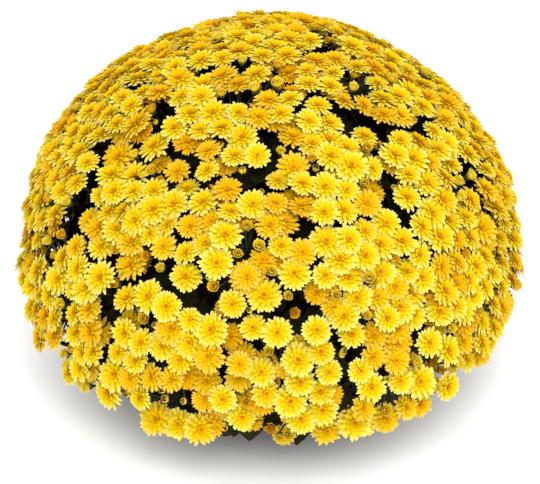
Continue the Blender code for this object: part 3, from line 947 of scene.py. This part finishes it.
def leaf_shapes(root, ahead, face, length, rng):
    """Leaves and their marks: the midrib turns down by the curl, the sections lie across
    it, and the lobes sweep forwards."""
    count = len(root)
    fold = rng.uniform(*LEAF_FOLDS, count)
    curl = rng.uniform(*LEAF_CURLS, count)[:, None]
    half, lift = leaf_sections(length / LEAF_LENGTH, fold, rng)
    side = unit(np.cross(ahead, face))
    up = np.cross(side, ahead)
    bend = curl * LEAF_STATIONS
    cos, sin = np.cos(bend)[..., None], np.sin(bend)[..., None]
    gone = (length[:, None] * LEAF_STATIONS)[..., None]
    line = root[:, None] + gone * (cos * ahead[:, None] - sin * up[:, None])
    above = cos * up[:, None] + sin * ahead[:, None]
    sweep = LEAF_SWEEP[:, None, None] * length[:, None, None, None] * LEAF_RISE[:, None]
    rings = line[:, :, None] + half * LEAF_ACROSS[:, None] * side[:, None, None]
    rings = rings + lift * above[:, :, None] + sweep * ahead[:, None, None]
    tip = root + length[:, None] * (np.cos(curl) * ahead - np.sin(curl) * up)
    along = np.broadcast_to(LEAF_STATIONS[:, None], rings.shape[:3])
    across = np.broadcast_to(LEAF_ACROSS, rings.shape[:3])
    zero = np.zeros(count)
    marks = spread(zero, along, zero + 1), spread(zero, across, zero)
    return spindles(root, rings, tip), marks


print("leaf stations:", len(LEAF_STATIONS))

# %% [markdown]
# Between the flowers the leaves are darkened nearly black as painted shade, and those of the
# skirt at the rim are a paler olive as painted light. Veins cut into the mesh would cost too
# much, so a slanted sine along the leaf draws them as colour and bump.

# %% Finish of the leaves
LEAF_SHADE_DARK = colour(0.006, 0.007, 0.002)
LEAF_SHADE_DULL = colour(0.016, 0.016, 0.004)
LEAF_PALE_AND_LIT = colour(0.036, 0.030, 0.008)
LEAF_VEIN = colour(0.045, 0.048, 0.014)
VEIN_WAVES = 46
VEIN_SLANT = 9.0
MIDRIB_WIDTH = 0.10


def leaf_blades():
    """Mottled blades darkened as painted shade, paler by their tone, high on the skirt as painted
    light, with a midrib and slanted side veins.
    """
    finish = Finish("leaf_blade", 0.5)
    along, across, tone = finish.marks()
    slanted = along * VEIN_WAVES - abs(across) * VEIN_SLANT
    side_veins = slanted.sine().step(0.72, 1.0)
    midrib = 1 - abs(across).step(0.0, MIDRIB_WIDTH)
    veins = (side_veins * 0.5).larger_of(midrib)
    mottle = finish.noise(160.0, 4.0)
    blade = finish.mix(mottle, LEAF_SHADE_DARK, LEAF_SHADE_DULL)
    blade = finish.mix(tone.step(0.0, 1.0), blade, LEAF_PALE_AND_LIT)
    finish.set("Base Color", finish.mix(veins * 0.40, blade, LEAF_VEIN))
    finish.set("Roughness", 0.60 + 0.2 * mottle)
    finish.set("Specular IOR Level", 0.10)
    finish.bump(mottle * 0.5 - veins, 0.0006, 0.8)
    return finish


leaf_finish = leaf_blades()
print("finish:", leaf_finish.material.name)

# %% [markdown]
# Leaves fill the dome under the flowers, and a skirt of larger ones hangs out at its rim.
# They could grow along branches, but only blades show, so the inner ones are scattered and
# lean any way, and the skirt's point out and down.

# %% Leaves
LEAVES = 620
LEAF_SPACING = 0.03
LEAF_SETTLE = 10
CORE_DEPTH = 0.040
LEAF_SINK = 0.002
LEAF_TILTS = (35, 75)
LEAF_SIZES = (0.65, 1.05)
# inner leaves keep low tones, dark as painted shade; the skirt's high tones are painted light
LEAF_TONES = (0.0, 0.5)
SKIRT_LEAVES = 110
SKIRT_SCATTER = 0.4
SKIRT_RADII = (0.140, 0.168)
SKIRT_HEIGHTS = (0.068, 0.085)
SKIRT_SPREADS = (0.4, 1.3)
SKIRT_SIZES = (0.95, 1.35)
SKIRT_LIT_TONES = (0.5, 1.0)
UP = np.array([0, 0, 1.0])


def inner_leaves(rng):
    """Roots, directions, faces and lengths. A leaf leans by its tilt from the dome's normal
    towards a chance direction square to it."""
    angle, turn = scatter(LEAVES, LEAF_SPACING, rng, LEAF_SETTLE)
    root, out = dome_points(angle, turn, CORE_DEPTH + LEAF_SINK)
    drift = unit(np.cross(out, rng.normal(0, 1, (LEAVES, 3))))
    tilt = np.radians(rng.uniform(*LEAF_TILTS, LEAVES))[:, None]
    ahead = out * np.cos(tilt) + drift * np.sin(tilt)
    return root, ahead, out, LEAF_LENGTH * rng.uniform(*LEAF_SIZES, LEAVES)


def skirt_leaves(rng):
    """The same four for a ring of leaves, which point out by their spread and down."""
    count = SKIRT_LEAVES
    scattered = np.arange(count) + rng.uniform(-SKIRT_SCATTER, SKIRT_SCATTER, count)
    turn = math.tau * scattered / count
    root = at(rng.uniform(*SKIRT_RADII, count), turn, rng.uniform(*SKIRT_HEIGHTS, count))
    ahead = unit(at(rng.uniform(*SKIRT_SPREADS, count), turn, -1))
    return root, ahead, at(1, turn, 0), LEAF_LENGTH * rng.uniform(*SKIRT_SIZES, count)


leaf_rng = np.random.default_rng(SEED + 3)
leaf_groups = ((inner_leaves(leaf_rng), LEAF_TONES), (skirt_leaves(leaf_rng), SKIRT_LIT_TONES))
batch = Batch()
for places, tone_range in leaf_groups:
    shape, (along, across) = leaf_shapes(*places, leaf_rng)
    tones = leaf_rng.uniform(*tone_range, len(places[0]))
    batch.add(shape, (along, across, np.repeat(tones, len(along) // len(tones))))
leaves = batch.make("leaves", leaf_finish)
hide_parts("foliage")
print("leaf triangles:", triangles(leaves))

# %% [markdown]
# Behind the leaves, twigs show only as near black in the gaps. Thousands of them would cost
# more than they show, so they are one rough dome, closed towards the pot's rim. Its near-black
# browns are painted shade.

# %% Inner growth
CORE_SIDES = 96
CORE_RINGS = 44
CORE_FIRST_ANGLE = 0.02
CORE_INSET = 0.004
CORE_ROUGHNESS = 0.0016
ROUGHNESS_UP = 0.5
LIP_RINGS = 8
LIP_DROP = 0.004
POT_HEIGHT = 0.120
POT_RIM_RADIUS = 0.098
RIM_CLEARANCE = 0.012
CORE_FOOT = POT_HEIGHT + RIM_CLEARANCE
# near-black browns: painted shade of the inner growth
CORE_SHADE_BROWNS = colour(0.007, 0.003, 0.001), colour(0.018, 0.010, 0.002)


def rough_growth(rng):
    """A profile from under the middle, out over the lip and up the dome, turned. The same
    chance numbers roughen its radii and its heights."""
    angle = np.linspace(CORE_FIRST_ANGLE, DOME_LAST_ANGLE, CORE_RINGS)
    radius, height, _, _ = dome_profile(angle, CORE_DEPTH + CORE_INSET)
    lip = np.linspace(0, 1, LIP_RINGS + 1)[1:]
    lip_radius = radius[-1] + lip * (POT_RIM_RADIUS - radius[-1])
    lip_height = height[-1] - LIP_DROP + lip * (CORE_FOOT - height[-1])
    radii = np.concatenate([radius, lip_radius])[::-1, None]
    heights = np.concatenate([height, lip_height])[::-1, None]
    rough = rng.normal(0, CORE_ROUGHNESS, (len(radii), CORE_SIDES))
    rings = at(radii + rough, even_turns(CORE_SIDES), heights + ROUGHNESS_UP * rough[:, ::-1])
    return spindles(CORE_FOOT * UP[None], rings[None], height[0] * UP[None])


growth_finish = two_tone("inner_growth", 0.9, (120.0, 5.0), CORE_SHADE_BROWNS, 0.003)
growth_finish.set("Specular IOR Level", 0.0)
batch = Batch()
batch.add(rough_growth(np.random.default_rng(SEED + 4)))
inner_growth = batch.make("inner_growth", growth_finish)
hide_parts("foliage")
print("inner growth triangles:", triangles(inner_growth))

# %% [markdown]
# Five stems carry the growth out of the soil, and a branch runs to the fork of every spray.
# Skinned edges would bulge where they meet, so they are tubes like the stalks.

# %% Stems and branches
STEMS = 5
STEM_CIRCLE = 0.028
STEM_SPREAD = 1.15
STEM_RADIUS = 0.004
STEM_FOOT = 0.066
STEM_TOP = CORE_FOOT + RIM_CLEARANCE
STEM_MARKS = (0.5, 0.0, 0.3)
BRANCH_RADIUS = 0.0022
BRANCH_SINK = 0.008
BRANCH_MARKS = (0.5, 0.0, 0.5)

stem_foot = at(STEM_CIRCLE, even_turns(STEMS), STEM_FOOT)
stem_top = at(STEM_SPREAD * STEM_CIRCLE, even_turns(STEMS), STEM_TOP)
upwards = np.broadcast_to(UP, stem_foot.shape)
branch_foot = heads - (CORE_DEPTH + BRANCH_SINK) * head_axes

batch = Batch()
batch.add(stalks(stem_foot, upwards, stem_top, upwards, STEM_RADIUS), STEM_MARKS)
batch.add(stalks(branch_foot, head_axes, forks, head_axes, BRANCH_RADIUS), BRANCH_MARKS)
stems = batch.make("stems", green_finish)
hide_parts("foliage")
print("stem triangles:", triangles(stems))

# %% [markdown]
# The photograph hides the pot, so it is a plain grower's pan of thin dark plastic. A cone
# with a solidified wall would have a square rim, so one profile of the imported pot's size runs
# up the wall, over the rolled rim and down to the floor.

# %% The pot's profile
POT_BASE_RADIUS = 0.074
POT_WALL_TOP_RADIUS = 0.089
POT_RIM_HEIGHT = 0.026
POT_WALL = 0.0025
POT_FLOOR = 0.003
POT_EDGE = POT_WALL / 2
POT_SIDES = 96
RIM_FOOT = POT_HEIGHT - POT_RIM_HEIGHT
RIM_STEPS = 9
FOOT_RECESS = 0.001
FOOT_WIDTH = 0.010
FOOT_SLOPE = 0.002
GROOVE = 0.0005
GROOVE_PLACES = (0.12, 0.50, 0.88)
GROOVE_SHAPE = ((-0.012, 0), (-0.006, GROOVE), (0.006, GROOVE), (0.012, 0))


def outer_wall():
    """The recessed underside, the rounded foot and the wall with its grooves."""
    foot = POT_BASE_RADIUS - FOOT_WIDTH
    profile = [(0, FOOT_RECESS), (foot - FOOT_SLOPE, FOOT_RECESS), (foot, 0)]
    profile += [(POT_BASE_RADIUS - POT_EDGE, 0)]
    profile += [(POT_BASE_RADIUS - POT_EDGE / 3, POT_EDGE / 3), (POT_BASE_RADIUS, POT_EDGE)]
    for place in GROOVE_PLACES:
        for step, depth in GROOVE_SHAPE:
            part = place + step
            radius = POT_BASE_RADIUS + part * (POT_WALL_TOP_RADIUS - POT_BASE_RADIUS) - depth
            profile.append((radius, part * RIM_FOOT))
    return profile + [(POT_WALL_TOP_RADIUS, RIM_FOOT)]


def rim_band():
    """The step out to the band, up it, and half a circle over the rim."""
    profile = [(POT_RIM_RADIUS - 1.5 * POT_EDGE, RIM_FOOT)]
    profile += [(POT_RIM_RADIUS - POT_EDGE, RIM_FOOT + POT_EDGE / 2)]
    profile += [(POT_RIM_RADIUS - POT_EDGE / 2, RIM_FOOT + 3 * POT_EDGE)]
    for angle in np.linspace(0, math.pi, RIM_STEPS):
        across = POT_EDGE * math.cos(angle)
        up = POT_EDGE * math.sin(angle)
        profile.append((POT_RIM_RADIUS - POT_EDGE + across, POT_HEIGHT - POT_EDGE + up))
    return profile


def inner_wall():
    """Down inside the band and the wall, and in to the floor's middle."""
    base = POT_BASE_RADIUS - POT_WALL
    profile = [(POT_RIM_RADIUS - POT_WALL - POT_EDGE, RIM_FOOT + 2 * POT_WALL)]
    profile += [(POT_WALL_TOP_RADIUS - POT_WALL, RIM_FOOT + POT_WALL)]
    return profile + [(base, POT_FLOOR + POT_EDGE), (base - POT_EDGE, POT_FLOOR), (0, POT_FLOOR)]


def turned(profile, sides):
    """One spindle: the profile, from its first point on the axis to its last, turned."""
    radius, height = np.array(profile, dtype=float).T
    rings = at(radius[1:-1, None], even_turns(sides), height[1:-1, None])
    return height[0] * UP[None], rings[None], height[-1] * UP[None]


pot_profile = outer_wall() + rim_band() + inner_wall()
print("points on the pot's profile:", len(pot_profile))

# %% [markdown]
# The floor has five drain holes. They could be left out of its faces by hand, but a Boolean
# cuts them cleanly, and is applied at once. The plastic is scuffed and dusted with dry soil.

# %% Pot
DRAIN_HOLES = 5
DRAIN_RADIUS = 0.005
DRAIN_CIRCLE = 0.046
DRAIN_SIDES = 24
DRAIN_LENGTH = 4 * POT_FLOOR
PLASTIC_DARK = colour(0.022, 0.024, 0.023)
PLASTIC_LIGHT = colour(0.050, 0.051, 0.048)
DRY_SOIL = colour(0.110, 0.080, 0.050)


def cut_holes(piece):
    """Cuts short cylinders on a circle out of a piece, and leaves the cut in its mesh."""
    work = bmesh.new()
    for place in at(DRAIN_CIRCLE, even_turns(DRAIN_HOLES), 0):
        bmesh.ops.create_cone(
            work, cap_ends=True, segments=DRAIN_SIDES, radius1=DRAIN_RADIUS,
            radius2=DRAIN_RADIUS, depth=DRAIN_LENGTH, matrix=Matrix.Translation(place),
        )
    cutter_mesh = bpy.data.meshes.new("drain_cutter")
    work.to_mesh(cutter_mesh)
    work.free()
    cut = piece.modifiers.new("drains", "BOOLEAN")
    cut.operation = "DIFFERENCE"
    cut.object = add_object("drain_cutter", cutter_mesh)
    finished = piece.evaluated_get(bpy.context.evaluated_depsgraph_get())
    mesh = bpy.data.meshes.new_from_object(finished)
    bpy.data.objects.remove(cut.object)
    piece.modifiers.clear()
    piece.data = mesh


def dark_plastic():
    """Scuffed dark plastic, rougher and browner where dry soil has dusted it."""
    finish = Finish("pot_plastic", 0.45)
    scuff = finish.noise(70.0, 6.0)
    dust = finish.noise(24.0, 5.0).step(0.48, 0.75)
    plastic = finish.mix(scuff.step(0.5, 0.8), PLASTIC_DARK, PLASTIC_LIGHT)
    finish.set("Base Color", finish.mix(dust * 0.5, plastic, DRY_SOIL))
    finish.set("Roughness", 0.36 + 0.3 * scuff + 0.25 * dust)
    finish.bump(scuff, 0.0003, 0.5)
    return finish


batch = Batch()
batch.add(spindles(*turned(pot_profile, POT_SIDES)))
pot = batch.make("turned_pot", dark_plastic())
cut_holes(pot)
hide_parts("pot")
print("pot triangles:", triangles(pot))

# %% [markdown]
# The potting mix is a dark lumpy disc down to the pot's floor. Bump alone would leave its
# edge smooth, so its turned top is raised and lowered by waves and by chance.

# %% The body of the soil
SOIL_LEVEL = 0.106
SOIL_LUMP = 0.003
SOIL_GAP = 0.0003
SOIL_RINGS = 26
SOIL_DOMING = 0.9
# frequencies both ways, phase and share
SOIL_WAVES = ((310, 270, 0, 1), (730, 810, 1, 0.5))
WAVE_HEIGHT = 0.4
CALM_POWER = 8
SOIL_GRAIN = 0.0004
SOIL_RADIUS = POT_RIM_RADIUS - POT_WALL - POT_EDGE - SOIL_GAP


def soil_top(x, y):
    """The height of the soil: low domed, with two crossed waves that calm down at the wall."""
    far = np.hypot(x, y) / SOIL_RADIUS
    waves = 0
    for one_way, other_way, phase, share in SOIL_WAVES:
        waves = waves + share * np.sin(one_way * x + phase) * np.cos(other_way * y)
    waves = WAVE_HEIGHT * waves * (1 - far ** CALM_POWER)
    return SOIL_LEVEL + SOIL_LUMP * (SOIL_DOMING * (1 - 2 * far ** 2) + waves)


def soil_body(rng):
    """A wall a hair inside the pot's, and a flat top, turned. Waves raise the top, and so
    does chance inside its first ring."""
    low = POT_FLOOR + SOIL_GAP
    wall = [(0, low), (POT_BASE_RADIUS - POT_WALL - POT_EDGE - SOIL_GAP, low)]
    wall += [(POT_WALL_TOP_RADIUS - POT_WALL - SOIL_GAP, RIM_FOOT + POT_WALL + SOIL_GAP)]
    wall += [(SOIL_RADIUS, RIM_FOOT + 2 * POT_WALL + SOIL_GAP)]
    top = [(share * SOIL_RADIUS, SOIL_LEVEL) for share in np.linspace(1, 0, SOIL_RINGS)]
    start, rings, end = turned(wall + top, POT_SIDES)
    surface = rings[:, len(wall) - 1:]
    surface[..., 2] = soil_top(surface[..., 0], surface[..., 1])
    surface[:, 1:, :, 2] += rng.normal(0, SOIL_GRAIN, surface[:, 1:, :, 2].shape)
    end[:, 2] = soil_top(0.0, 0.0)
    return spindles(start, rings, end)


soil_rng = np.random.default_rng(SEED + 5)
soil_shape = soil_body(soil_rng)
print("points on the body of the soil:", len(soil_shape[0]))

# %% [markdown]
# Crumbs of bark and white perlite lie half sunk in the mix. Copies of one ball would show, so
# each is a small spindle of two uneven rings with its own size and axis.

# %% Soil and crumbs
CRUMBS = 420
CRUMB_SIDES = 5
CRUMB_SIZES = (0.0010, 0.0026)
CRUMB_MARGIN = 0.003
CRUMB_GIRTHS = (0.5, 1.0)
CRUMB_LEVELS = np.array([-0.4, 0.4])
CRUMB_WOBBLE = 0.15
PERLITE_SHARE = 0.25
SOIL_BROWNS = colour(0.018, 0.010, 0.006), colour(0.070, 0.042, 0.024)
PERLITE_WHITES = colour(0.55, 0.53, 0.48), colour(0.82, 0.81, 0.77)

soil_finish = two_tone("potting_soil", 0.95, (420.0, 6.0), SOIL_BROWNS, 0.002, sharp=True)
perlite_finish = two_tone("perlite_white", 0.9, (1500.0, 3.0), PERLITE_WHITES, 0.0004)

crumb_far = (SOIL_RADIUS - CRUMB_MARGIN) * np.sqrt(soil_rng.uniform(0, 1, CRUMBS))
crumb_place = at(crumb_far, soil_rng.uniform(0, math.tau, CRUMBS), 0.0)
crumb_place[:, 2] = soil_top(*crumb_place[:, :2].T)
crumb_axis = unit(soil_rng.normal(0, 1, (CRUMBS, 3)))
crumb_size = soil_rng.uniform(*CRUMB_SIZES, CRUMBS)
is_perlite = soil_rng.uniform(0, 1, CRUMBS) < PERLITE_SHARE

batch = Batch()
batch.add(soil_shape)
for slot, chosen in enumerate((~is_perlite, is_perlite)):
    place, axis, size = crumb_place[chosen], crumb_axis[chosen], crumb_size[chosen]
    radii = size[:, None] * soil_rng.uniform(*CRUMB_GIRTHS, (len(size), 2))
    levels = size[:, None] * CRUMB_LEVELS
    crumbs = lathe(place, axis, radii, levels, CRUMB_SIDES, -size, size, CRUMB_WOBBLE)
    batch.add(crumbs, slot=slot)
soil = batch.make("soil_and_crumbs", soil_finish, perlite_finish)
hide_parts("soil")
print("soil triangles:", triangles(soil))

# %% [markdown]
# A flower that stands out by a millimetre would not show in a picture. Here the imported
# model's box is printed.

# %% The imported model's box
print("packed model:", plain(cad_box))
